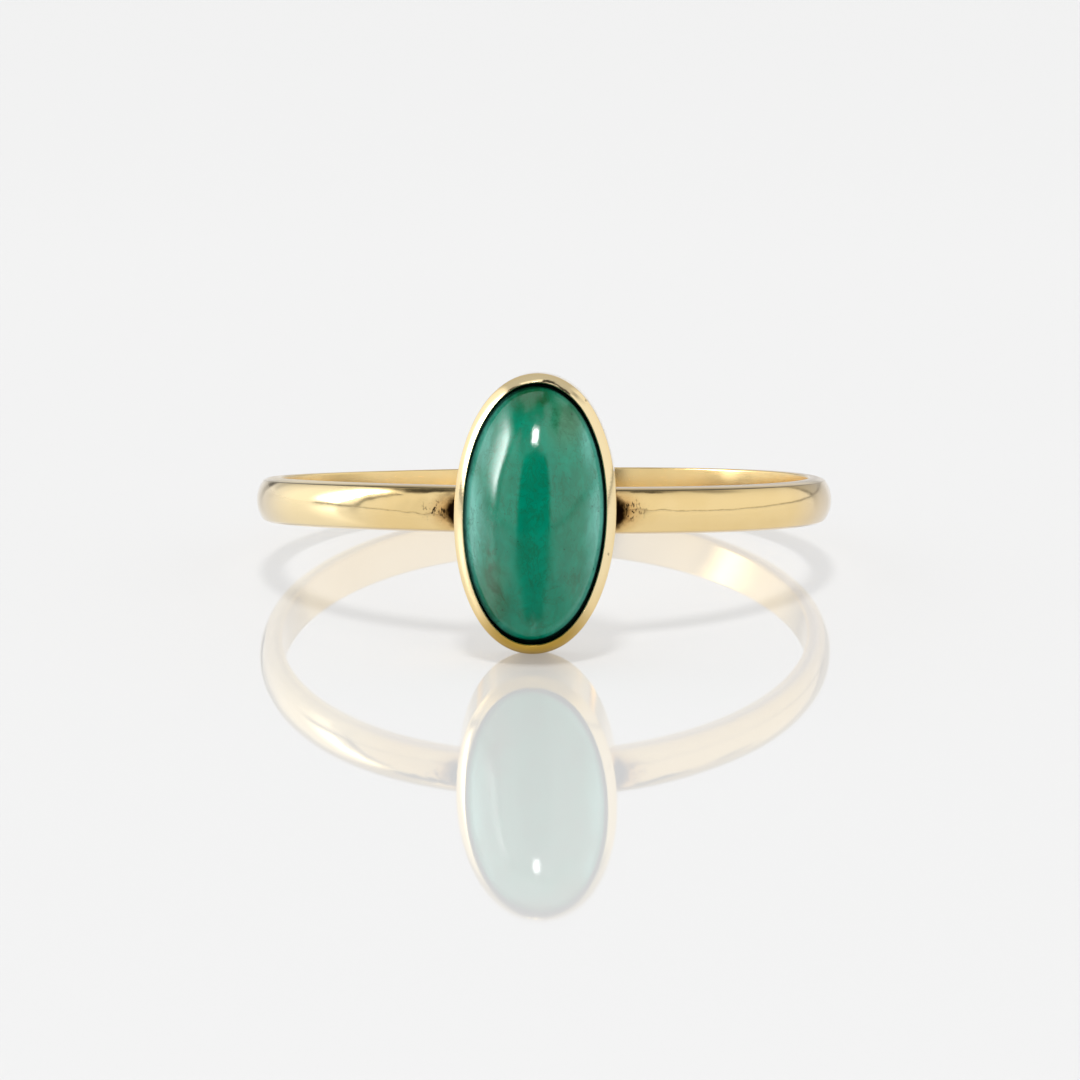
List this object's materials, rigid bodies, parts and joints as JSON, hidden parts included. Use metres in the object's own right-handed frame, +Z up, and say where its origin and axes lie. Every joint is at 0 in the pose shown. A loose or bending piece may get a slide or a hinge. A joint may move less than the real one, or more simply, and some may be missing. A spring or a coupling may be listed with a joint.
{
  "type": "turquoise ring",
  "caption": "Slim domed finger ring with a tall oval cabochon held in a smooth bezel.",
  "frame": {"origin": "middle of the ground that the resting ring covers, on the surface it lies on", "axes": "+Z up; -Y the way the stone faces; +X to the right as the stone is looked at"},
  "size_m": [0.0188, 0.0218, 0.009],
  "materials": {
    "gold": "polished 14 karat gold, lightly worn",
    "turquoise": "polished green turquoise cabochon"
  },
  "bodies": {
    "root": {"band_and_bezel": "gold", "stone": "turquoise"}
  },
  "joints": []
}
